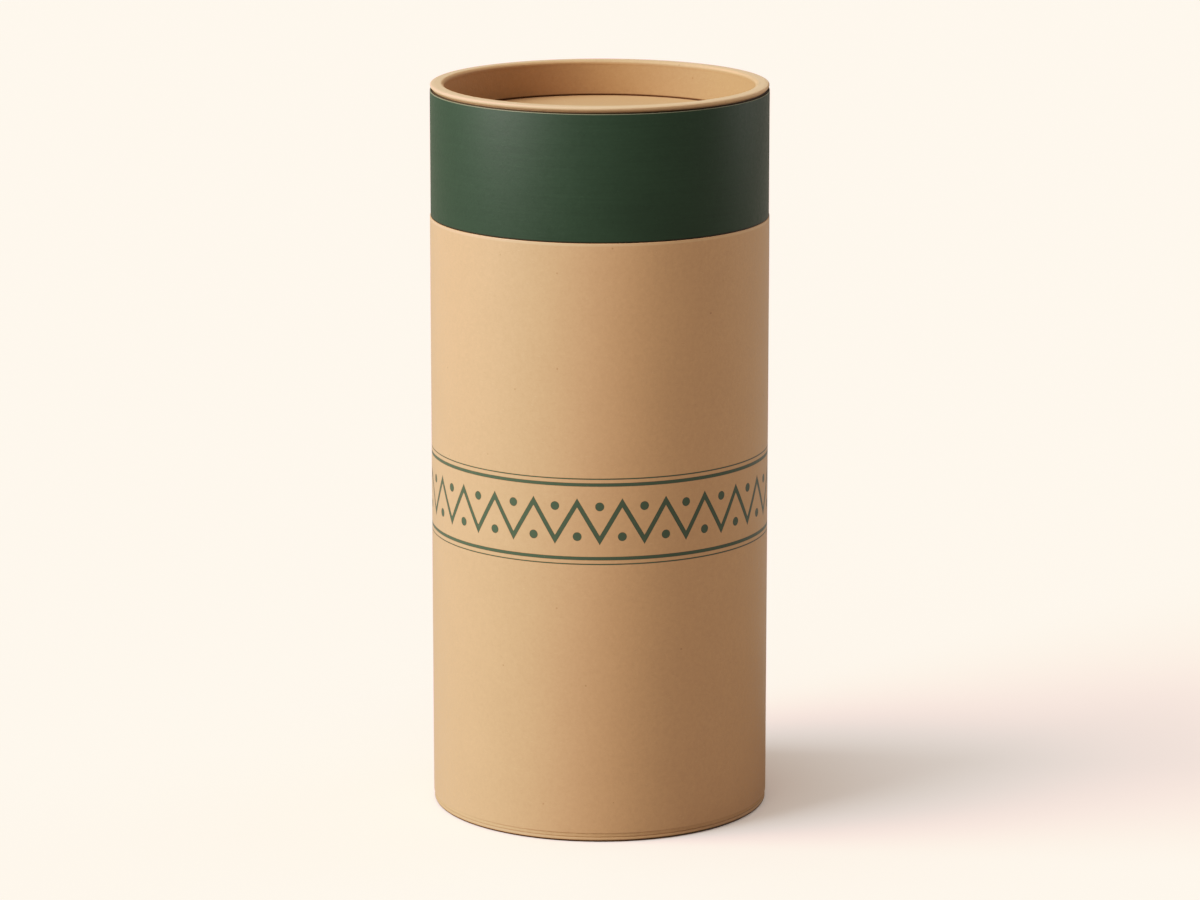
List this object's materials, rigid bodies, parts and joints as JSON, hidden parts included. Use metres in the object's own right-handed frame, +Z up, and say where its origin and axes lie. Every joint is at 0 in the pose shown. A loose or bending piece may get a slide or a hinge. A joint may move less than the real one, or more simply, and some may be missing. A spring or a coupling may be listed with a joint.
{
  "type": "cardboard mailing tube",
  "caption": "Round kraft board tube with rolled ends, recessed end boards and a green paper-wrapped lid that slides down over an inner neck.",
  "frame": {"origin": "centre of the foot, on the surface that the tube stands on", "axes": "+Z up along the tube's axis, towards the lid; +Y towards the back, where the wraps lap; +X to the right of someone who faces the front"},
  "size_m": [0.083, 0.0832, 0.18],
  "materials": {
    "kraft_board": "matt wound kraft board with fine fibres",
    "kraft_paper": "matt kraft paper with fine fibres and a faint mottle",
    "inner_board": "matt wound kraft board with a spiral seam",
    "end_board": "matt flat grey-brown board",
    "green_paper": "satin dark green coated paper with fine streaks round the lid"
  },
  "bodies": {
    "body": {"body_tube": "kraft_board", "body_wrap": "kraft_paper", "inner_tube": "inner_board", "base_board": "end_board"},
    "lid": {"lid_tube": "kraft_board", "lid_wrap": "green_paper", "lid_board": "end_board"}
  },
  "joints": [
    {"name": "lid_lift", "type": "slide", "parent": "body", "child": "lid", "axis": [0, 0, 1], "range_m": [0, 0.12]}
  ]
}
